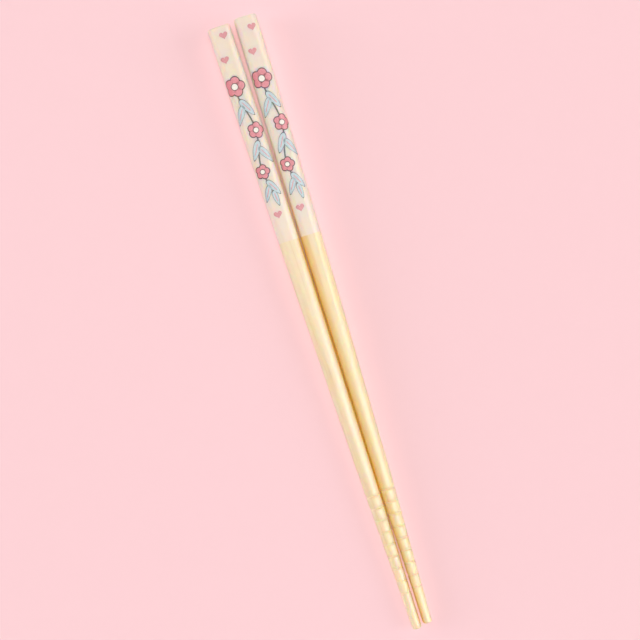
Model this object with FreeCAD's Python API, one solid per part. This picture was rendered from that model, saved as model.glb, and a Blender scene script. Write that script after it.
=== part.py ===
import FreeCAD, Part
import math
import os

# A pair of bamboo chopsticks that lie side by side on a table, as they come to rest.
# The handle ends point to +Y, the tips to -Y, and Z = 0 is the table. Sizes are in millimetres.
# Each stick is one solid. From its handle end it is a square handle, a square run that tapers
# and carries the stick on the table, a run that turns from square to round, and a round shank
# with grip rings cut round it near the tip.

# Lengths of the four runs
HANDLE_LENGTH = 50.0
SQUARE_LENGTH = 50.0
ROUNDING_LENGTH = 32.0
ROUND_LENGTH = 78.0

# Sides of the square section, and the diameter at the tip
HANDLE_END_SIDE = 7.7
HANDLE_FOOT_SIDE = 7.5
SQUARE_FOOT_SIDE = 6.6
TIP_DIAMETER = 3.15

# Radii of the long corners at the same places
HANDLE_END_CORNER = 2.0
HANDLE_FOOT_CORNER = 2.3
SQUARE_FOOT_CORNER = 2.75

# Past the square runs the stick narrows as a straight cone, and the grip takes this much more
# off the diameter. That starts and ends gently, at these distances from the tip
GRIP_NARROWING = 0.85
GRIP_START_TO_TIP = 52.0
GRIP_END_TO_TIP = 8.0

# Rounded edges of the two ends
HANDLE_EDGE_RADIUS = 0.4
TIP_EDGE_RADIUS = 0.7

# Grip rings: shallow grooves, counted from the one nearest the tip
RING_COUNT = 9
RING_PITCH = 4.24
RING_TO_TIP = 12.9
RING_WIDTH = 0.55
RING_DEPTH = 0.16

# How the two sticks lie: apart at the handle ends, nearly touching along the shanks,
# and the right one a little further towards the handle side
HANDLE_END_GAP = 1.65
CLOSEST_GAP = 0.03
STAGGER = 0.8

# How finely the rounding run and the plain part of the shank follow their curves
ROUNDING_STEPS = 4
PLAIN_STEPS = 4
# Half the angle that each flat takes up where it has become part of the circle
FLAT_TRACE_ANGLE = math.radians(8.0)
# Edges as close to the end plane as this lie in it
SAME_PLACE = 1e-6

SQUARE_START = HANDLE_LENGTH
ROUNDING_START = SQUARE_START + SQUARE_LENGTH
ROUND_START = ROUNDING_START + ROUNDING_LENGTH
STICK_LENGTH = ROUND_START + ROUND_LENGTH


def between(start, end, share):
    return start + (end - start) * share


def side_at(s):
    """Width of the stick at the distance s from its handle end."""
    if s <= SQUARE_START:
        return between(HANDLE_END_SIDE, HANDLE_FOOT_SIDE, s / HANDLE_LENGTH)
    if s <= ROUNDING_START:
        return between(HANDLE_FOOT_SIDE, SQUARE_FOOT_SIDE, (s - SQUARE_START) / SQUARE_LENGTH)
    share = (s - ROUNDING_START) / (ROUNDING_LENGTH + ROUND_LENGTH)
    cone = between(SQUARE_FOOT_SIDE, TIP_DIAMETER + GRIP_NARROWING, share)
    grip_start = STICK_LENGTH - GRIP_START_TO_TIP
    t = min(max((s - grip_start) / (GRIP_START_TO_TIP - GRIP_END_TO_TIP), 0.0), 1.0)
    return cone - GRIP_NARROWING * t * t * (3.0 - 2.0 * t)


def corner_at(s):
    """Radius of the long corners at s. Where it reaches half the width, the section is round."""
    if s <= SQUARE_START:
        return between(HANDLE_END_CORNER, HANDLE_FOOT_CORNER, s / HANDLE_LENGTH)
    if s <= ROUNDING_START:
        return between(HANDLE_FOOT_CORNER, SQUARE_FOOT_CORNER, (s - SQUARE_START) / SQUARE_LENGTH)
    share = (s - ROUNDING_START) / ROUNDING_LENGTH
    return between(SQUARE_FOOT_CORNER, side_at(ROUND_START) / 2, share)


def section(s):
    """The flats and rounded corners round the stick at s, as edges in order. Where the stick is
    round already, they are arcs of one circle that meet at the same places."""
    half, radius = side_at(s) / 2, corner_at(s)
    centre = half - radius
    is_round = s >= ROUND_START
    flat_half, reach = centre, half
    if is_round:
        flat_half, reach = half * math.sin(FLAT_TRACE_ANGLE), half * math.cos(FLAT_TRACE_ANGLE)
    diagonal = centre + radius * math.cos(math.pi / 4)

    def point(quarter, x, z):
        turn = quarter * math.pi / 2
        return FreeCAD.Vector(x * math.cos(turn) - z * math.sin(turn), -s,
                              x * math.sin(turn) + z * math.cos(turn))

    edges = []
    for quarter in range(4):
        start, end = point(quarter, flat_half, reach), point(quarter, -flat_half, reach)
        middle = point(quarter, 0, half)
        flat = Part.Arc(start, middle, end) if is_round else Part.LineSegment(start, end)
        corner = Part.Arc(end, point(quarter, -diagonal, diagonal), point(quarter, -reach, flat_half))
        edges += [flat.toShape(), corner.toShape()]
    return edges


def panel(first, second):
    """The face between matching edges of two sections: a true plane between two straight ones."""
    if any(edge.Curve.TypeId != "Part::GeomLine" for edge in (first, second)):
        return Part.makeRuledSurface(first, second)
    corners = [first.firstVertex().Point, first.lastVertex().Point,
               second.lastVertex().Point, second.firstVertex().Point]
    return Part.Face(Part.makePolygon(corners + corners[:1]))


def square_part():
    """From the handle end to where the stick is round, with rounded edges at the handle end."""
    steps = [ROUNDING_LENGTH * k / ROUNDING_STEPS for k in range(ROUNDING_STEPS)]
    stations = [0.0, SQUARE_START] + [ROUNDING_START + step for step in steps] + [ROUND_START]
    sections = [section(s) for s in stations]
    faces = []
    for here, there in zip(sections, sections[1:]):
        faces += [panel(first, second) for first, second in zip(here, there)]
    faces += [Part.Face(Part.Wire(edges)) for edges in (sections[0], sections[-1])]
    shell = Part.Shell(faces)
    shell.sewShape()
    body = Part.Solid(shell)
    end_edges = [edge for edge in body.Edges if abs(edge.BoundBox.YMin) < SAME_PLACE]
    return body.makeFillet(HANDLE_EDGE_RADIUS, end_edges).Solids[0]


def ring_positions():
    """Distances of the ring middles from the handle end."""
    last = STICK_LENGTH - RING_TO_TIP
    return [last - RING_PITCH * k for k in reversed(range(RING_COUNT))]


def plain_positions():
    """Distances that divide the round shank's plain part, from its start to the first ring."""
    end = ring_positions()[0] - RING_WIDTH / 2
    return [between(ROUND_START, end, k / PLAIN_STEPS) for k in range(PLAIN_STEPS + 1)]


def round_part():
    """The round shank, turned about the stick's axis with its grip rings and rounded tip."""
    def on_profile(s, depth=0.0):
        return FreeCAD.Vector(side_at(s) / 2 - depth, -s, 0)

    edges = []
    plain, rings = plain_positions(), ring_positions()
    for start, end in zip(plain, plain[1:]):
        edges.append(Part.LineSegment(on_profile(start), on_profile(end)).toShape())

    tip_edge = STICK_LENGTH - TIP_EDGE_RADIUS
    land_ends = [ring - RING_WIDTH / 2 for ring in rings[1:]] + [tip_edge]
    for ring, land_end in zip(rings, land_ends):
        groove_start, groove_end = ring - RING_WIDTH / 2, ring + RING_WIDTH / 2
        groove = Part.Arc(on_profile(groove_start), on_profile(ring, RING_DEPTH), on_profile(groove_end))
        edges.append(groove.toShape())
        edges.append(Part.LineSegment(on_profile(groove_end), on_profile(land_end)).toShape())

    edge_start = on_profile(tip_edge)
    flat_radius = edge_start.x - TIP_EDGE_RADIUS
    bulge = TIP_EDGE_RADIUS * math.cos(math.pi / 4)
    edge_middle = FreeCAD.Vector(flat_radius + bulge, -tip_edge - bulge, 0)
    edge_end = FreeCAD.Vector(flat_radius, -STICK_LENGTH, 0)
    edges.append(Part.Arc(edge_start, edge_middle, edge_end).toShape())

    tip_centre = FreeCAD.Vector(0, -STICK_LENGTH, 0)
    start_centre = FreeCAD.Vector(0, -ROUND_START, 0)
    edges.append(Part.LineSegment(edge_end, tip_centre).toShape())
    edges.append(Part.LineSegment(tip_centre, start_centre).toShape())
    edges.append(Part.LineSegment(start_centre, on_profile(ROUND_START)).toShape())
    profile = Part.Face(Part.Wire(edges))
    return profile.revolve(FreeCAD.Vector(0, 0, 0), FreeCAD.Vector(0, 1, 0), 360)


def stick():
    """One stick along -Y from the origin, with its axis in Y."""
    return square_part().fuse(round_part()).removeSplitter().Solids[0]


def toe_in():
    """Angle that each stick turns inwards, so that the pair nearly touches where it is closest."""
    start_spacing = HANDLE_END_GAP + HANDLE_END_SIDE
    stations = [SQUARE_START, ROUNDING_START] + plain_positions() + ring_positions() + [STICK_LENGTH]
    return min((start_spacing - side_at(s) - CLOSEST_GAP) / (2 * s) for s in stations)


def laid(shape, hand):
    """Lay a stick on the flat underside of its square run, on the left (-1) or the right (+1)."""
    drop = (HANDLE_FOOT_SIDE - SQUARE_FOOT_SIDE) / 2
    tilt = math.atan(drop / SQUARE_LENGTH)
    lift = ROUNDING_START * math.sin(tilt) + SQUARE_FOOT_SIDE / 2 * math.cos(tilt)
    spacing = (HANDLE_END_GAP + HANDLE_END_SIDE) / 2
    x_axis, z_axis = FreeCAD.Vector(1, 0, 0), FreeCAD.Vector(0, 0, 1)
    tilted = FreeCAD.Placement(FreeCAD.Vector(0, 0, 0), FreeCAD.Rotation(x_axis, math.degrees(tilt)))
    turned = FreeCAD.Placement(FreeCAD.Vector(hand * spacing, hand * STAGGER / 2, lift),
                               FreeCAD.Rotation(z_axis, -hand * math.degrees(toe_in())))
    placed = shape.copy()
    placed.Placement = turned.multiply(tilted)
    return placed


def main():
    one = stick()
    pair = {"left_chopstick": laid(one, -1), "right_chopstick": laid(one, 1)}
    box = Part.makeCompound(list(pair.values())).optimalBoundingBox(False, False)
    to_centre = FreeCAD.Vector(-box.Center.x, -box.Center.y, 0)
    os.makedirs("parts", exist_ok=True)
    for node, shape in pair.items():
        shape.translate(to_centre)
        shape.exportStep(os.path.join("parts", node + ".step"))


main()
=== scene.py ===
import logging
import math
from dataclasses import dataclass, field, replace
from enum import Enum

import bpy
import numpy as np
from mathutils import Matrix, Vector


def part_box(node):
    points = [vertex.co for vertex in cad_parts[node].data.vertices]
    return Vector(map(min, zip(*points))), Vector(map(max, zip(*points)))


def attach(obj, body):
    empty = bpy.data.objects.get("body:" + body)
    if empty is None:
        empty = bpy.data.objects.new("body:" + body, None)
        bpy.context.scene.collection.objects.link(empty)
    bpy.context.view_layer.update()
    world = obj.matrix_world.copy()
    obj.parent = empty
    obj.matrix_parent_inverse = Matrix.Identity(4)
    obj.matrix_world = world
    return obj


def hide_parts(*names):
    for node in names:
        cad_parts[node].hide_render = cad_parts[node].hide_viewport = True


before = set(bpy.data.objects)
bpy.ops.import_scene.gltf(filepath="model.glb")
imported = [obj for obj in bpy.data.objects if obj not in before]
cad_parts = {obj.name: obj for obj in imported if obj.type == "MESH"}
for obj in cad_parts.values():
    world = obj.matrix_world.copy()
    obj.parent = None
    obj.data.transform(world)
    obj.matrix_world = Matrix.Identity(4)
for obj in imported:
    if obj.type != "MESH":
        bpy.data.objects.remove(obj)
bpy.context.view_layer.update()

# A pair of printed bamboo chopsticks on a pale floor. Sizes in the classes are millimetres, and
# become metres where a mesh is made. A place on a stick is given by s, its distance from the
# handle end, and across, the way round the stick from the middle of the top face to the right.

LOG = logging.getLogger("chopsticks")
MM = 0.001
BODY = "root"

Socket = bpy.types.NodeSocket
Colour = tuple[float, float, float, float]
Span = tuple[float, float]


class Side(Enum):
    """Which stick of the pair: the value is its side of the middle, along X."""

    LEFT = -1
    RIGHT = 1

    @property
    def word(self) -> str:
        """The side's name in lower case."""
        return self.name.lower()


def linear(hex_colour: str) -> Colour:
    """Turn an sRGB colour into the linear one that a shader takes.

    The sRGB curve is a straight line up to 0.04045 and a power of 2.4 above it.

    Args:
        hex_colour: six hex digits after a hash.

    Returns:
        Linear red, green and blue, and an alpha of 1.
    """
    parts = [int(hex_colour[k:k + 2], 16) / 255 for k in (1, 3, 5)]
    red, green, blue = (part / 12.92 if part <= 0.04045 else ((part + 0.055) / 1.055) ** 2.4
                        for part in parts)
    return red, green, blue, 1.0


def add_node(tree: bpy.types.NodeTree, kind: str, inputs: dict[str | int, object],
             **settings: object) -> bpy.types.Node:
    """Add a node, set it and link it.

    Args:
        tree: the node tree that takes the node.
        kind: the node's type name.
        inputs: value or output socket for each input, by the input's name or number.
        settings: the node's own properties.

    Returns:
        The new node.
    """
    node = tree.nodes.new(kind)
    for name, value in settings.items():
        setattr(node, name, value)
    for key, value in inputs.items():
        if isinstance(value, Socket):
            tree.links.new(value, node.inputs[key])
        else:
            node.inputs[key].default_value = value
    return node


def new_material(name: str) -> tuple[bpy.types.Material, bpy.types.NodeTree]:
    """Make a material with an empty node tree.

    Args:
        name: the material's name.

    Returns:
        The material and its tree.
    """
    material = bpy.data.materials.new(name)
    material.use_nodes = True
    material.node_tree.nodes.clear()
    return material, material.node_tree


def stretched_noise(tree: bpy.types.NodeTree, size: tuple[float, float, float], detail: float,
                    roughness: float) -> Socket:
    """Noise in the object's own coordinates, with grains of a given size along each axis.

    Args:
        tree: the material's tree.
        size: length of a grain along X, Y and Z.
        detail: how many finer layers the noise has.
        roughness: how strong the finer layers are.

    Returns:
        The noise's value, about 0.5 on average.
    """
    place = add_node(tree, "ShaderNodeTexCoord", {})
    scale = tuple(1.0 / (length * MM) for length in size)
    mapped = add_node(tree, "ShaderNodeMapping", {"Vector": place.outputs["Object"], "Scale": scale})
    noise = add_node(tree, "ShaderNodeTexNoise", {"Vector": mapped.outputs["Vector"], "Scale": 1.0,
                                                  "Detail": detail, "Roughness": roughness})
    return noise.outputs["Fac"]


def remap(tree: bpy.types.NodeTree, value: Socket, span: Span, low: float = 0.0,
          high: float | Socket = 1.0) -> Socket:
    """Map a value smoothly from one range to another.

    Args:
        tree: the material's tree.
        value: the socket to map.
        span: the inputs that give the low and the high output.
        low: output at the span's start.
        high: output at the span's end, a number or a socket.

    Returns:
        The mapped value.
    """
    node = add_node(tree, "ShaderNodeMapRange",
                    {"Value": value, "From Min": span[0], "From Max": span[1], "To Min": low, "To Max": high},
                    interpolation_type="SMOOTHSTEP")
    return node.outputs["Result"]


def blend_colours(tree: bpy.types.NodeTree, share: Socket, first: Colour | Socket,
                  second: Colour | Socket) -> Socket:
    """Mix two colours, where the share is how much of the second one shows."""
    # A Mix node's colours go in at sockets 6 and 7 and come out at 2
    return add_node(tree, "ShaderNodeMix", {0: share, 6: first, 7: second}, data_type="RGBA").outputs[2]


@dataclass(frozen=True)
class Lacquer:
    """Clear satin lacquer, dipped over wood and print alike, so that a lamp shows in it as a soft streak.

    The glow is for the wood below it: light goes in a few millimetres, the red furthest, and comes
    out again, which keeps shaded sides warm.
    """

    roughness: float = 0.5
    ior: float = 1.5
    coat: float = 1.0
    coat_roughness: float = 0.5
    coat_ior: float = 1.5
    glow: float = 1.0
    glow_radius: tuple[float, float, float] = (3.0, 1.6, 0.5)

    def shade(self, tree: bpy.types.NodeTree, colour: Socket, normal: Socket | None = None) -> None:
        """Finish a material with the lacquered surface.

        Args:
            tree: the material's tree.
            colour: colour under the lacquer.
            normal: bumped normal under the lacquer.
        """
        inputs = {"Base Color": colour,
                  "Roughness": self.roughness,
                  "IOR": self.ior,
                  "Coat Weight": self.coat,
                  "Coat Roughness": self.coat_roughness,
                  "Coat IOR": self.coat_ior,
                  "Subsurface Weight": self.glow,
                  "Subsurface Radius": self.glow_radius,
                  "Subsurface Scale": MM}
        if normal is not None:
            inputs["Normal"] = normal
        surface = add_node(tree, "ShaderNodeBsdfPrincipled", inputs)
        add_node(tree, "ShaderNodeOutputMaterial", {"Surface": surface.outputs["BSDF"]})


@dataclass(frozen=True)
class PrintedBamboo:
    """Planed bamboo with a printed cream field on the handle, under clear lacquer.

    Bamboo's fibres are bundles 0.5 to 1 mm apart that run the whole length, so it shows fine
    straight streaks, and paler bands where they lie further apart. Towards the side that faces the
    other stick the wood is painted a deeper golden, as painted shade and bounced light of the gap
    between the sticks, and towards the print's end the print there turns to the same golden, also
    painted shade. The grip rings' grooves are painted paler, a painted light that offsets their shade.

    A span is the stretch of a pattern or a place over which a colour comes in, and a share is how
    much of it there is then. The inner place goes across the stick, from -1 on its outer side to
    1 on the side that faces the other stick.
    """

    bamboo: str
    print_end: float
    pale_fibre: str = "#F0E2C5"
    dark_fibre: str = "#D9BD88"
    facing_shade: str = "#EBC27A"
    deep_facing_shade: str = "#EBBE34"
    groove_light: str = "#FFF0CC"
    cream: str = "#EBDBCB"
    cream_shade: str = "#E6D5C2"

    # The streaks keep to the coarse half of the real spacing, because finer ones don't show
    fibre_width: float = 0.8
    fibre_length: float = 46.0
    dark_span: Span = (0.52, 0.78)
    dark_share: float = 0.5
    pale_span: Span = (0.48, 0.25)
    pale_share: float = 0.4

    band_width: float = 3.6
    band_length: float = 90.0
    band_span: Span = (0.3, 0.7)
    pale_band_share: float = 0.55
    cream_band_share: float = 0.4

    # Painted shade: a deeper golden on the side that faces the other stick, deepest at its edge, for the
    # shade and bounced light between the sticks
    facing_shade_span: Span = (0.7, 1.0)
    deep_facing_shade_span: Span = (0.8, 0.97)
    facing_shade_share: float = 0.95
    # Painted light: the grip rings' grooves are made paler, which offsets their shade
    groove_span: Span = (0.0, 1.0)
    groove_light_share: float = 0.25

    print_edge: float = 0.25
    # Painted shade: the print's side that faces the other stick turns golden towards the print's end
    print_shade_length: float = 45.0
    print_shade_span: Span = (0.8, 1.0)
    print_shade_share: float = 0.8

    bump_height: float = 0.012
    bump_under_print: float = 0.15
    lacquer: Lacquer = field(default_factory=Lacquer)

    def material(self, name: str) -> bpy.types.Material:
        """Make the material.

        Args:
            name: the start of its name.

        Returns:
            The stick's material.
        """
        material, tree = new_material(f"{name}_lacquered_bamboo")
        along = add_node(tree, "ShaderNodeAttribute", {}, attribute_name="along_mm").outputs["Fac"]
        inner = add_node(tree, "ShaderNodeAttribute", {}, attribute_name="inner").outputs["Fac"]
        groove = add_node(tree, "ShaderNodeAttribute", {}, attribute_name="groove").outputs["Fac"]
        fibre = stretched_noise(tree, (self.fibre_width, self.fibre_length, self.fibre_width),
                                detail=3.0, roughness=0.6)
        band = stretched_noise(tree, (self.band_width, self.band_length, self.band_width),
                               detail=1.0, roughness=0.5)

        wood = linear(self.bamboo)
        # The last three blends are painted: shade on the side that faces the other stick, and light in the
        # ring grooves
        for place, span, share, tint in ((band, self.band_span, self.pale_band_share, self.pale_fibre),
                                         (fibre, self.dark_span, self.dark_share, self.dark_fibre),
                                         (fibre, self.pale_span, self.pale_share, self.pale_fibre),
                                         (inner, self.facing_shade_span, self.facing_shade_share, self.facing_shade),
                                         (inner, self.deep_facing_shade_span, self.facing_shade_share, self.deep_facing_shade),
                                         (groove, self.groove_span, self.groove_light_share, self.groove_light)):
            wood = blend_colours(tree, remap(tree, place, span, high=share), wood, linear(tint))

        cream = blend_colours(tree, remap(tree, band, self.band_span, high=self.cream_band_share),
                              linear(self.cream), linear(self.cream_shade))
        # Painted shade: towards its end the print turns golden on the side that faces the other stick
        print_shade = remap(tree, along, (self.print_end - self.print_shade_length, self.print_end),
                         high=self.print_shade_share)
        cream = blend_colours(tree, remap(tree, inner, self.print_shade_span, high=print_shade),
                              cream, linear(self.deep_facing_shade))

        half_edge = self.print_edge / 2
        bare = remap(tree, along, (self.print_end - half_edge, self.print_end + half_edge))
        colour = blend_colours(tree, bare, cream, wood)
        relief = remap(tree, bare, (0.0, 1.0), low=self.bump_under_print)
        bump = add_node(tree, "ShaderNodeBump",
                        {"Height": fibre, "Strength": relief, "Distance": self.bump_height * MM})
        self.lacquer.shade(tree, colour, bump.outputs["Normal"])
        return material


class Ink(Enum):
    """The print's inks: each has a colour and a slightly darker one that it mottles to."""

    CORAL = ("#DE868C", "#D57B82")
    BLUE = ("#BCCBCE", "#B2C2C6")
    BROWN = ("#5E3632", "#52302C")
    SLATE = ("#615F56", "#55544C")
    WHITE = ("#F0E8DC", "#E8DED0")
    HEART = ("#D98F8F", "#D08585")

    def material(self) -> bpy.types.Material:
        """Make the ink's material: screen-printed ink, slightly uneven in depth, under the lacquer.

        Returns:
            The material.
        """
        light, dark = self.value
        material, tree = new_material(f"{self.name.lower()}_ink")
        # Real mottle is a tenth or two of a millimetre wide, and is drawn coarser so that it shows
        mottle_size = 0.5
        mottle_span = (0.35, 0.65)
        mottle = stretched_noise(tree, (mottle_size, mottle_size, mottle_size), detail=2.0, roughness=0.5)
        colour = blend_colours(tree, remap(tree, mottle, mottle_span), linear(light), linear(dark))
        Lacquer(glow=0.0).shade(tree, colour)
        return material


@dataclass(frozen=True)
class StickForm:
    """The form of one stick, with the same sizes as its solid."""

    handle_length: float = 50.0
    square_length: float = 50.0
    rounding_length: float = 32.0
    round_length: float = 78.0
    handle_end_side: float = 7.7
    handle_foot_side: float = 7.5
    square_foot_side: float = 6.6
    tip_diameter: float = 3.15
    handle_end_corner: float = 2.0
    handle_foot_corner: float = 2.3
    square_foot_corner: float = 2.75
    grip_narrowing: float = 0.85
    grip_start_to_tip: float = 52.0
    grip_end_to_tip: float = 8.0
    handle_edge_radius: float = 0.4
    tip_edge_radius: float = 0.7
    ring_count: int = 9
    ring_pitch: float = 4.24
    ring_to_tip: float = 12.9
    ring_width: float = 0.55
    ring_depth: float = 0.16

    @property
    def square_foot(self) -> float:
        """Where the square run ends and the rounding starts."""
        return self.handle_length + self.square_length

    @property
    def round_start(self) -> float:
        """Where the stick is round."""
        return self.square_foot + self.rounding_length

    @property
    def length(self) -> float:
        """The stick's length."""
        return self.round_start + self.round_length

    @property
    def rings(self) -> np.ndarray:
        """Where the middles of the grip rings are."""
        return self.length - self.ring_to_tip - self.ring_pitch * np.arange(self.ring_count)[::-1]

    def side(self, s: np.ndarray) -> np.ndarray:
        """Width of the stick: three straight tapers, less what the grip takes off.

        The grip comes in as an S-shaped ease, 3 times the square less 2 times the cube.

        Args:
            s: distances from the handle end.

        Returns:
            The width at each distance.
        """
        taper = np.interp(s, [0.0, self.handle_length, self.square_foot, self.length],
                          [self.handle_end_side, self.handle_foot_side, self.square_foot_side,
                           self.tip_diameter + self.grip_narrowing])
        grip_start = self.length - self.grip_start_to_tip
        t = np.clip((s - grip_start) / (self.grip_start_to_tip - self.grip_end_to_tip), 0.0, 1.0)
        return taper - self.grip_narrowing * t * t * (3.0 - 2.0 * t)

    def corner(self, s: np.ndarray) -> np.ndarray:
        """Radius of the long corners, which grows until it is half the width, where the stick is round.

        Args:
            s: distances from the handle end.

        Returns:
            The radius at each distance.
        """
        round_corner = float(self.side(np.array([self.round_start]))[0]) / 2
        growing = np.interp(s, [0.0, self.handle_length, self.square_foot, self.round_start],
                            [self.handle_end_corner, self.handle_foot_corner, self.square_foot_corner,
                             round_corner])
        return np.where(s >= self.round_start, self.side(s) / 2, growing)

    def groove(self, s: np.ndarray) -> np.ndarray:
        """Depth of the grip rings at s, a parabola in each, from 0 on the surface to 1 at the bottom."""
        nearest = np.abs(s[:, None] - self.rings[None, :]).min(axis=1)
        return np.clip(1.0 - (2.0 * nearest / self.ring_width) ** 2, 0.0, 1.0)

    def wrap(self, across: np.ndarray, s: np.ndarray, lift: np.ndarray) -> np.ndarray:
        """Places on the stick's skin, found by going round its section from the middle of the top face.

        The way round runs along the flat, then round the corner's arc, then down the side face.

        Args:
            across: way round from the middle of the top face, positive to the right.
            s: distances from the handle end.
            lift: height over the skin.

        Returns:
            Points in the stick's own axes, with the last index over X, Y and Z.
        """
        half, radius = self.side(s) / 2, self.corner(s)
        flat, way = half - radius, np.abs(across)
        turn = np.clip((way - flat) / radius, 0.0, math.pi / 2)
        down = np.maximum(way - flat - radius * math.pi / 2, 0.0)
        out = radius + lift
        x = np.minimum(way, flat) + out * np.sin(turn)
        z = flat + out * np.cos(turn) - down
        return np.stack([np.sign(across) * x, -s, z], axis=-1)


@dataclass(frozen=True)
class Lying:
    """How the pair lies: each stick rests on the flat underside of its square run, turned in at the tips."""

    handle_end_gap: float = 1.65
    closest_gap: float = 0.03
    plain_steps: int = 4

    def angles(self, form: StickForm) -> tuple[float, float]:
        """Work out how a stick lies.

        The tilt's tangent is half the width that the square run loses, over its length. The turn is
        the smallest that closes the space between the sticks to the closest gap at one of the places
        where they may meet.

        Args:
            form: the stick's form.

        Returns:
            The tilt that lays the underside flat, and the turn inwards that leaves the closest gap.
        """
        tilt = math.atan((form.handle_foot_side - form.square_foot_side) / 2 / form.square_length)
        plain = np.linspace(form.round_start, form.rings[0] - form.ring_width / 2, self.plain_steps + 1)
        stations = np.concatenate([[form.handle_length, form.square_foot], plain, form.rings, [form.length]])
        spacing = self.handle_end_gap + form.handle_end_side
        return tilt, float(((spacing - form.side(stations) - self.closest_gap) / (2 * stations)).min())

    def placed(self, points: np.ndarray, side: Side, form: StickForm) -> np.ndarray:
        """Turn points of a stick as it lies, about its handle end: by the tilt, then by the turn inwards.

        Args:
            points: points in the stick's own axes.
            side: which stick.
            form: the stick's form.

        Returns:
            The turned points.
        """
        tilt, toe = self.angles(form)
        turn = -side.value * toe
        about_x = np.array([[1, 0, 0],
                            [0, math.cos(tilt), -math.sin(tilt)],
                            [0, math.sin(tilt), math.cos(tilt)]])
        about_z = np.array([[math.cos(turn), -math.sin(turn), 0],
                            [math.sin(turn), math.cos(turn), 0],
                            [0, 0, 1]])
        return points @ (about_z @ about_x).T


class Skin:
    """Collects closed skins, each a grid of points whose first and last rows close to a point."""

    def __init__(self) -> None:
        """Start with no skins."""
        self.points: list[np.ndarray] = []
        self.quads: list[np.ndarray] = []
        self.triangles: list[np.ndarray] = []
        self.count = 0

    def add(self, grid: np.ndarray) -> None:
        """Add one closed skin.

        The grid's columns go round and join up. Its first and last rows are each averaged to one
        point. Faces are turned outwards by the sign of the volume that they enclose, which is a
        sixth of the sum of each triangle's triple product.

        Args:
            grid: points, by row, column and axis.
        """
        body = grid[1:-1]
        rows, columns = body.shape[:2]
        ends = np.stack([grid[0].mean(axis=0), grid[-1].mean(axis=0)])
        points = np.concatenate([body.reshape(-1, 3), ends])
        index = np.arange(rows * columns).reshape(rows, columns)
        after = np.roll(index, -1, axis=1)
        quads = np.stack([index[:-1], after[:-1], after[1:], index[1:]], axis=-1).reshape(-1, 4)
        first, last = rows * columns, rows * columns + 1
        start = np.stack([np.full(columns, first), after[0], index[0]], axis=-1)
        end = np.stack([np.full(columns, last), index[-1], after[-1]], axis=-1)
        triangles = np.concatenate([start, end])
        corners = points[np.concatenate([triangles, quads[:, [0, 1, 2]], quads[:, [0, 2, 3]]])]
        if np.einsum("ij,ij->", np.cross(corners[:, 0], corners[:, 1]), corners[:, 2]) < 0:
            quads, triangles = quads[:, ::-1], triangles[:, ::-1]
        self.points.append(points)
        self.quads.append(quads + self.count)
        self.triangles.append(triangles + self.count)
        self.count += len(points)

    def mesh(self, name: str) -> bpy.types.Mesh:
        """Make one mesh of all the skins.

        Args:
            name: the mesh's name.

        Returns:
            A smooth-shaded mesh in metres.
        """
        mesh = bpy.data.meshes.new(name)
        faces = np.concatenate(self.quads).tolist() + np.concatenate(self.triangles).tolist()
        mesh.from_pydata((np.concatenate(self.points) * MM).tolist(), [], faces)
        mesh.shade_smooth()
        mesh.update()
        return mesh


def show(name: str, mesh: bpy.types.Mesh, material: bpy.types.Material) -> bpy.types.Object:
    """Put a finished mesh in the scene as a piece of the object.

    Args:
        name: the piece's name.
        mesh: its mesh.
        material: its material.

    Returns:
        The piece.
    """
    piece = bpy.data.objects.new(name, mesh)
    bpy.context.scene.collection.objects.link(piece)
    mesh.materials.append(material)
    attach(piece, BODY)
    LOG.info("%s: %d vertices, %d faces", name, len(mesh.vertices), len(mesh.polygons))
    return piece


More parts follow.
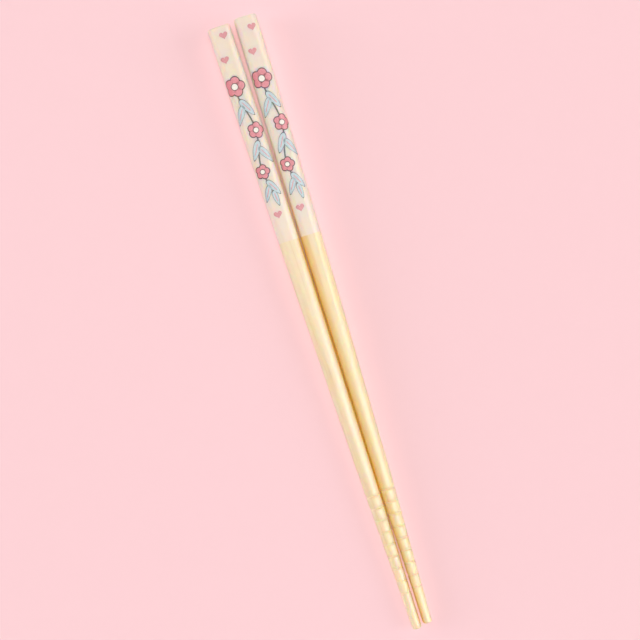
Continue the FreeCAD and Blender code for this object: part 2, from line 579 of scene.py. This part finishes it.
@dataclass
class Chopstick:
    """One stick, as a skin over the same form as its solid."""

    side: Side
    form: StickForm
    lying: Lying
    columns: int = 128
    edge_rows: int = 6
    cap_rows: int = 5
    plain_spacing: float = 1.0
    groove_rows: int = 9
    # From the lying skin to its solid's place, found when the stick is built
    shift: np.ndarray = field(default_factory=lambda: np.zeros(3))

    @property
    def node(self) -> str:
        """The name of the stick's solid."""
        return f"{self.side.word}_chopstick"

    def stations(self) -> np.ndarray:
        """Distances of the rows between the rounded ends: even on plain runs, close together in the rings.

        Returns:
            The distances in order.
        """
        form = self.form
        first, last = form.handle_edge_radius, form.length - form.tip_edge_radius
        plain = np.linspace(first, last, int((last - first) / self.plain_spacing) + 1)
        knees = [form.handle_length, form.square_foot, form.round_start]
        in_groove = np.linspace(-0.5, 0.5, self.groove_rows) * form.ring_width
        grooves = (form.rings[:, None] + in_groove[None, :]).ravel()
        nearest = np.abs(plain[:, None] - form.rings[None, :]).min(axis=1)
        kept = plain[nearest > form.ring_width]
        return np.unique(np.concatenate([kept, knees, grooves]).round(6))

    def end_rows(self, section: np.ndarray, radius: float, direction: float) -> np.ndarray:
        """Sections of a rounded edge and of the flat end inside it.

        The edge is a quarter circle: a section moves on by the radius times the sine of the turn,
        and shrinks by the radius times one less the cosine. The flat end shrinks evenly to the axis.

        Args:
            section: distance, half width and corner radius where the edge starts.
            radius: the edge's radius.
            direction: 1 towards the tip and -1 towards the handle end.

        Returns:
            Distance, half width and corner radius of each row, from the edge to the axis.
        """
        at, half, corner = section
        turn = np.linspace(0.0, math.pi / 2, self.edge_rows + 1)[1:]
        inset = radius * (1.0 - np.cos(turn))
        edge = np.stack([at + direction * radius * np.sin(turn), half - inset, corner - inset])
        scale = np.linspace(1.0, 0.0, self.cap_rows + 1)[1:]
        flat = np.stack([np.full(self.cap_rows, edge[0, -1]), edge[1, -1] * scale, edge[2, -1] * scale])
        return np.concatenate([edge, flat], axis=1)

    def rows(self) -> tuple[np.ndarray, np.ndarray]:
        """Section of every row, from the middle of the handle's end face to the middle of the tip.

        Returns:
            Distance, half width and corner radius of each row, and how deep it is in a groove.
        """
        form = self.form
        s = self.stations()
        groove = form.groove(s)
        half = form.side(s) / 2 - form.ring_depth * groove
        corner = form.corner(s) - form.ring_depth * groove
        between = np.stack([s, half, corner])
        start = self.end_rows(between[:, 0], form.handle_edge_radius, -1.0)[:, ::-1]
        end = self.end_rows(between[:, -1], form.tip_edge_radius, 1.0)
        groove = np.concatenate([np.zeros(start.shape[1]), groove, np.zeros(end.shape[1])])
        return np.concatenate([start, between, end], axis=1), groove

    def skin(self) -> tuple[np.ndarray, np.ndarray, np.ndarray]:
        """The stick's skin on a grid of distance by angle round the axis.

        At an angle, a rounded square is as far from its axis as its flat, or as the corner's arc,
        which is the far root of the quadratic for a ray that meets the arc's circle.

        Returns:
            The points by row, column and axis, and the distance and groove share of each row.
        """
        (s, half, corner), groove = self.rows()
        angle = 2 * math.pi * np.arange(self.columns) / self.columns
        long_way = np.maximum(np.abs(np.cos(angle)), np.abs(np.sin(angle)))[None, :]
        both_ways = (np.abs(np.cos(angle)) + np.abs(np.sin(angle)))[None, :]
        short_way = both_ways - long_way
        half, corner, flat = half[:, None], corner[:, None], (half - corner)[:, None]
        under_root = (flat * both_ways) ** 2 - 2 * flat ** 2 + corner ** 2
        on_corner = flat * both_ways + np.sqrt(np.maximum(under_root, 0.0))
        reach = np.where(short_way * half <= flat * long_way, half / long_way, on_corner)
        x, z = reach * np.cos(angle), reach * np.sin(angle)
        return np.stack([x, np.broadcast_to(-s[:, None], x.shape), z], axis=-1), s, groove

    def build(self, material: bpy.types.Material) -> None:
        """Make the stick and hide its solid.

        Args:
            material: the stick's material.
        """
        grid, s, groove = self.skin()
        # From -1 on the outer side to 1 on the side that faces the other stick
        inner = -self.side.value * grid[1:-1, :, 0] / (self.form.side(s)[1:-1, None] / 2)
        grid = self.lying.placed(grid, self.side, self.form)
        low, high = (np.array(corner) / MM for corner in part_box(self.node))
        flat_grid = grid.reshape(-1, 3)
        self.shift = (low + high) / 2 - (flat_grid.min(axis=0) + flat_grid.max(axis=0)) / 2
        self.shift[2] = low[2] - flat_grid[:, 2].min()
        skin = Skin()
        skin.add(grid + self.shift)
        mesh = skin.mesh(f"{self.side.word}_stick")
        on_rows = {"along_mm": s, "groove": groove}
        on_points = {name: np.concatenate([np.repeat(values[1:-1], self.columns), values[[0, -1]]])
                     for name, values in on_rows.items()}
        on_points["inner"] = np.append(inner.ravel(), [0.0, 0.0])
        for name, values in on_points.items():
            attribute = mesh.attributes.new(name, "FLOAT", "POINT")
            attribute.data.foreach_set("value", values.astype(np.float32))
        piece = show(f"{self.side.word}_stick", mesh, material)
        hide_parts(self.node)

    def on_skin(self, across: np.ndarray, s: np.ndarray, lift: np.ndarray) -> np.ndarray:
        """Places on the lying stick in the pair's own axes, from places and heights over its skin."""
        return self.lying.placed(self.form.wrap(across, s, lift), self.side, self.form) + self.shift


class Outline(Enum):
    """Flat shapes of the print. Each is star-shaped, about 1 from its middle to its edge."""

    DISC = 1
    HEART = 2
    LEAF = 3

    def edge(self, angle: np.ndarray) -> np.ndarray:
        """The shape's edge, once round.

        The disc is a circle. The heart's width is a cubed sine and its length a sum of cosines of 1
        to 4 times the angle. The leaf is an ellipse that gets narrower from its stalk to its point.

        Args:
            angle: angles round the shape, from 0 to a full turn.

        Returns:
            Places across and along, with the last index over the two.
        """
        if self is Outline.HEART:
            x = np.sin(angle) ** 3
            waves = 13 * np.cos(angle) - 5 * np.cos(2 * angle) - 2 * np.cos(3 * angle) - np.cos(4 * angle)
            y = -waves / 16
            return np.stack([x, y - y.mean()], axis=-1)
        if self is Outline.LEAF:
            width = 0.42
            narrowing = 0.25
            x = width * np.sin(angle) * (1.0 - narrowing + narrowing * np.cos(angle))
            return np.stack([x, -np.cos(angle)], axis=-1)
        return np.stack([np.sin(angle), -np.cos(angle)], axis=-1)


@dataclass(frozen=True)
class Mark:
    """One flat shape of ink: its place, its size either way, its turn and how far it grows all round."""

    outline: Outline
    across: float
    s: float
    width: float
    length: float
    turn: float = 0.0
    grow: float = 0.0


@dataclass
class HandlePrint:
    """The print on the top of a handle: hearts, and a sprig of blossoms and leaves on a winding stem.

    Each ink lies in a film of its own height, so that it covers the one below it. The films are
    thicker than real ink, which is about 0.01 mm, so that none shows through another.
    """

    stick: Chopstick
    sideways: float
    onward: float
    ink_depth: float = 0.02
    low_lift: float = 0.02
    middle_lift: float = 0.036
    high_lift: float = 0.05
    top_lift: float = 0.06

    # A film's points round and rows outwards. The rim's row, at this share of the way out, keeps
    # the shading flat almost to the edge
    columns: int = 40
    film_rows: int = 9
    rim: float = 0.95
    stroke_columns: int = 12

    heart_width: float = 2.8
    heart_length: float = 2.7
    upper_hearts: tuple[tuple[float, float], ...] = ((0.8, 3.3), (-1.3, 11.2))
    lower_heart: tuple[float, float] = (-0.7, 64.8)

    stem_start: float = 17.0
    stem_end: float = 57.5
    stem_points: int = 90
    stem_width: float = 0.5
    stem_swing: float = 1.15
    stem_wave: float = 27.0
    stem_crossing: float = 15.5

    # Each leaf's place on the stem, its turn to the right in radians, and its length
    leaves: tuple[tuple[float, float, float], ...] = (
        (25.3, 0.5, 6.6), (27.3, -0.52, 6.6), (39.8, -0.5, 6.6), (41.8, 0.52, 6.6),
        (53.2, 0.52, 6.0), (54.8, -0.5, 5.6), (57.0, 0.1, 5.0))
    outline_width: float = 0.3
    rib_width: float = 0.42
    rib_points: int = 14
    rib_span: Span = (-0.75, 0.55)

    # Each blossom's place on the stem and its radius. Sizes of petals and eye are shares of that
    # radius, the first petal's turn is in radians, and the eye's outline in millimetres
    blossoms: tuple[tuple[float, float], ...] = ((20.6, 3.3), (36.2, 2.6), (50.0, 2.3))
    petal_count: int = 5
    petal_turn: float = 0.3
    petal_length: float = 0.92
    petal_width: float = 0.86
    eye_size: float = 0.62
    eye_outline_width: float = 0.24

    def film(self, skin: Skin, mark: Mark, lift: float) -> None:
        """Add one shape of ink as a thin closed film on the handle.

        Its rows run from the middle out to the edge on top, and back to the middle underneath.

        Args:
            skin: the skins of this ink.
            mark: the shape.
            lift: how far its top stands over the wood.
        """
        angle = 2 * math.pi * np.arange(self.columns) / self.columns
        size = np.array([mark.width / 2 + mark.grow, mark.length / 2 + mark.grow])
        cos, sin = math.cos(mark.turn), math.sin(mark.turn)
        edge = mark.outline.edge(angle) * size @ np.array([[cos, sin], [-sin, cos]])
        out = np.append(np.linspace(0.0, self.rim, self.film_rows), 1.0)
        back = np.array([1.0, 0.5, 0.0])
        reach = np.concatenate([out, back])[:, None]
        height = np.repeat([lift, -self.ink_depth], [len(out), len(back)])
        across = mark.across + self.sideways + reach * edge[None, :, 0]
        s = mark.s + self.onward + reach * edge[None, :, 1]
        skin.add(self.stick.on_skin(across, s, np.broadcast_to(height[:, None], s.shape)))

    def stroke(self, skin: Skin, across: np.ndarray, s: np.ndarray, width: float, lift: float) -> None:
        """Add a line of ink: a flattened tube along a path that closes roundly at both ends.

        Its half width goes as the root of 1 less the sixth power of the way from the path's middle.

        Args:
            skin: the skins of this ink.
            across: the path's places across.
            s: the path's places along.
            width: the line's width.
            lift: how far its top stands over the wood.
        """
        t = np.linspace(0.0, 1.0, len(s))
        half = width / 2 * np.sqrt(np.clip(1.0 - (2 * t - 1) ** 6, 0.0, 1.0))
        slope = np.stack([np.gradient(across), np.gradient(s)])
        slope = slope / np.hypot(*slope)
        angle = 2 * math.pi * np.arange(self.stroke_columns) / self.stroke_columns
        sideways = half[:, None] * np.cos(angle)[None, :]
        height = np.where(np.sin(angle) > 0, lift, self.ink_depth) * np.sin(angle)
        skin.add(self.stick.on_skin(across[:, None] + self.sideways + slope[1][:, None] * sideways,
                                    s[:, None] + self.onward - slope[0][:, None] * sideways,
                                    np.broadcast_to(height[None, :], sideways.shape)))

    def stem(self, s: np.ndarray) -> np.ndarray:
        """How far across the winding stem is at s: a sine that swings to and fro across the handle."""
        return -self.stem_swing * np.sin(2 * math.pi * (s - self.stem_crossing) / self.stem_wave)

    def hearts(self, skins: dict[Ink, Skin]) -> None:
        """Draw the small plain hearts: two by the handle end, and one below the sprig.

        The lower one isn't shifted sideways with the rest of the print.

        Args:
            skins: the skins of each ink.
        """
        lower_across, lower_s = self.lower_heart
        for across, s in (*self.upper_hearts, (lower_across - self.sideways, lower_s)):
            heart = Mark(Outline.HEART, across, s, self.heart_width, self.heart_length)
            self.film(skins[Ink.HEART], heart, self.low_lift)

    def sprig(self, skins: dict[Ink, Skin]) -> None:
        """Draw the sprig: stem, leaves in pairs, and blossoms.

        Args:
            skins: the skins of each ink.
        """
        s = np.linspace(self.stem_start, self.stem_end, self.stem_points)
        self.stroke(skins[Ink.SLATE], self.stem(s), s, self.stem_width, self.low_lift)
        for place, turn, length in self.leaves:
            self.leaf(skins, place, turn, length)
        for place, radius in self.blossoms:
            self.blossom(skins, place, radius)

    def leaf(self, skins: dict[Ink, Skin], s: float, turn: float, length: float) -> None:
        """Draw one leaf with its outline and midrib, growing from the stem towards the tip.

        Args:
            skins: the skins of each ink.
            s: where it leaves the stem.
            turn: angle between the leaf and the stick, positive to the right.
            length: from its stalk to its point.
        """
        across = float(self.stem(np.array([s]))[0]) + math.sin(turn) * length / 2
        middle = s + math.cos(turn) * length / 2
        shape = Mark(Outline.LEAF, across, middle, length, length, -turn)
        self.film(skins[Ink.SLATE], replace(shape, grow=self.outline_width), self.low_lift)
        self.film(skins[Ink.BLUE], shape, self.middle_lift)
        rib = np.linspace(*self.rib_span, self.rib_points) * length / 2
        self.stroke(skins[Ink.HEART], across + rib * math.sin(turn), middle + rib * math.cos(turn),
                    self.rib_width, self.high_lift)

    def blossom(self, skins: dict[Ink, Skin], s: float, radius: float) -> None:
        """Draw one blossom: a ring of outlined petals round a pale eye.

        Args:
            skins: the skins of each ink.
            s: its place along the handle.
            radius: from its middle to the petals' ends.
        """
        middle = float(self.stem(np.array([s]))[0])
        petal_length, petal_width = radius * self.petal_length, radius * self.petal_width
        out = radius - petal_length / 2
        for turn in 2 * math.pi * np.arange(self.petal_count) / self.petal_count + self.petal_turn:
            across, along = middle + out * math.sin(turn), s + out * math.cos(turn)
            petal = Mark(Outline.DISC, across, along, petal_width, petal_length, -turn)
            self.film(skins[Ink.BROWN], replace(petal, grow=self.outline_width), self.low_lift)
            self.film(skins[Ink.CORAL], petal, self.middle_lift)
        eye = Mark(Outline.DISC, middle, s, radius * self.eye_size, radius * self.eye_size)
        self.film(skins[Ink.BROWN], replace(eye, grow=self.eye_outline_width), self.high_lift)
        self.film(skins[Ink.WHITE], eye, self.top_lift)

    def build(self, inks: dict[Ink, bpy.types.Material]) -> None:
        """Print the handle, one piece for each ink.

        Args:
            inks: the inks' materials.
        """
        skins = {ink: Skin() for ink in Ink}
        self.hearts(skins)
        self.sprig(skins)
        for ink, skin in skins.items():
            name = f"{self.stick.side.word}_{ink.name.lower()}_ink"
            show(name, skin.mesh(name), inks[ink])


@dataclass(frozen=True)
class Lamp:
    """One distant soft lamp: how bright and broad it is, and its tilt from overhead to the right.

    A lamp may light only the matt colour or only the gloss, and one without a shadow stands for
    light that pale surroundings throw back.
    """

    name: str
    strength: float
    spread_degrees: float
    tilt_degrees: float
    colour: str = "#FFFFFF"
    diffuse: bool = True
    glossy: bool = True
    shadow: bool = True


@dataclass
class Studio:
    """Floor, light and camera. The camera looks straight down at the angle of the photograph."""

    floor_colour: str = "#F9D0D4"
    backdrop_colour: str = "#FED4D8"
    floor_size: float = 6000.0
    lens: float = 66.5
    sensor: float = 36.0

    # The photograph's width, and the real size of its pixels at about the height of the sticks' axes
    image_pixels: int = 640
    pixel_size: float = 0.3321
    sticks_height: float = 4.0
    aim: tuple[float, float] = (-1.87, 2.4)
    turn_degrees: float = 17.58

    # Overhead a broad cool lamp, and a narrow warm one that reaches down between the sticks. Low
    # lamps for the flanks, of which the fill also reaches the left stick's flank in the gap. The
    # gleams only make the streaks that the lacquer shows along the corners
    sky_strength: float = 0.13
    lamps: tuple[Lamp, ...] = (
        Lamp("overhead_lamp", 0.96, 26.0, 2.0, "#DEE8FF", glossy=False),
        Lamp("narrow_overhead_lamp", 1.5, 10.0, 0.0, "#FFF6E0", glossy=False),
        Lamp("left_lamp", 1.6, 34.0, -79.0, "#EEF2FF", glossy=False),
        Lamp("right_lamp", 0.65, 34.0, 68.0, "#EEF2FF", glossy=False),
        Lamp("right_fill", 0.6, 34.0, 68.0, glossy=False, shadow=False),
        Lamp("left_gleam", 0.4, 30.0, -30.0, diffuse=False),
        Lamp("top_gleam", 2.2, 26.0, 22.0, diffuse=False),
        Lamp("right_gleam", 2.0, 34.0, 50.0, diffuse=False))
    lamp_turn_degrees: float = -17.6

    def floor(self) -> None:
        """Lay a plain matt floor under the sticks: uncoated paper, which shows its colour without gloss."""
        half = self.floor_size / 2 * MM
        corners = [(-half, -half, 0), (half, -half, 0), (half, half, 0), (-half, half, 0)]
        mesh = bpy.data.meshes.new("floor")
        mesh.from_pydata(corners, [], [(0, 1, 2, 3)])
        floor = bpy.data.objects.new("floor", mesh)
        bpy.context.scene.collection.objects.link(floor)
        material, tree = new_material("matt_paper")
        surface = add_node(tree, "ShaderNodeBsdfPrincipled",
                           {"Base Color": linear(self.floor_colour), "Roughness": 1.0,
                            "Specular IOR Level": 0.0})
        add_node(tree, "ShaderNodeOutputMaterial", {"Surface": surface.outputs["BSDF"]})
        mesh.materials.append(material)

    def world(self) -> None:
        """Surround the pair with a weak even light, which the camera sees as the backdrop's colour."""
        world = bpy.data.worlds.new("soft_studio")
        world.use_nodes = True
        tree = world.node_tree
        tree.nodes.clear()
        sky = add_node(tree, "ShaderNodeBackground",
                       {"Color": (1.0, 1.0, 1.0, 1.0), "Strength": self.sky_strength})
        backdrop = add_node(tree, "ShaderNodeBackground",
                            {"Color": linear(self.backdrop_colour), "Strength": 1.0})
        ray = add_node(tree, "ShaderNodeLightPath", {})
        seen = add_node(tree, "ShaderNodeMixShader", {0: ray.outputs["Is Camera Ray"],
                                                      1: sky.outputs["Background"],
                                                      2: backdrop.outputs["Background"]})
        add_node(tree, "ShaderNodeOutputWorld", {"Surface": seen.outputs["Shader"]})
        bpy.context.scene.world = world

    def light(self) -> None:
        """Hang the lamps, each tilted to the left or the right of the picture."""
        turn = math.radians(self.lamp_turn_degrees)
        for lamp in self.lamps:
            light = bpy.data.lights.new(lamp.name, "SUN")
            light.energy = lamp.strength
            light.angle = math.radians(lamp.spread_degrees)
            light.color = linear(lamp.colour)[:3]
            light.use_shadow = lamp.shadow
            holder = bpy.data.objects.new(lamp.name, light)
            holder.rotation_euler = (0.0, math.radians(lamp.tilt_degrees), turn)
            holder.visible_diffuse = lamp.diffuse
            holder.visible_glossy = lamp.glossy
            bpy.context.scene.collection.objects.link(holder)

    def camera(self) -> None:
        """Set the camera over the pair, so that the photograph's pixels have their real size there."""
        data = bpy.data.cameras.new("camera")
        data.lens = self.lens
        data.sensor_width = self.sensor
        distance = self.pixel_size * self.image_pixels * self.lens / self.sensor
        camera = bpy.data.objects.new("camera", data)
        camera.location = (self.aim[0] * MM, self.aim[1] * MM, (self.sticks_height + distance) * MM)
        camera.rotation_euler = (0.0, 0.0, -math.radians(self.turn_degrees))
        bpy.context.scene.collection.objects.link(camera)
        bpy.context.scene.camera = camera
        bpy.context.scene.view_settings.view_transform = "Standard"

    def build(self) -> None:
        """Make the whole studio."""
        self.camera()
        self.floor()
        self.world()
        self.light()


def main() -> None:
    """Build the pair, its print and the studio."""
    logging.basicConfig(level=logging.INFO)
    Studio().build()
    form, lying = StickForm(), Lying()
    inks = {ink: ink.material() for ink in Ink}
    left_wood = PrintedBamboo(bamboo="#E9D6B0", print_end=74.2)
    # On the right stick the deeper golden of the facing side reaches almost all the way across
    right_wood = PrintedBamboo(bamboo="#EBDAAD", print_end=75.0, facing_shade_span=(-0.2, 0.95))
    # The numbers are how far the handle's print is shifted to the right and towards the tip
    for side, wood, sideways, onward in ((Side.LEFT, left_wood, 0.0, 0.0),
                                         (Side.RIGHT, right_wood, 0.5, 0.8)):
        stick = Chopstick(side, form, lying)
        stick.build(wood.material(side.word))
        HandlePrint(stick, sideways, onward).build(inks)


if __name__ == "__main__":
    main()
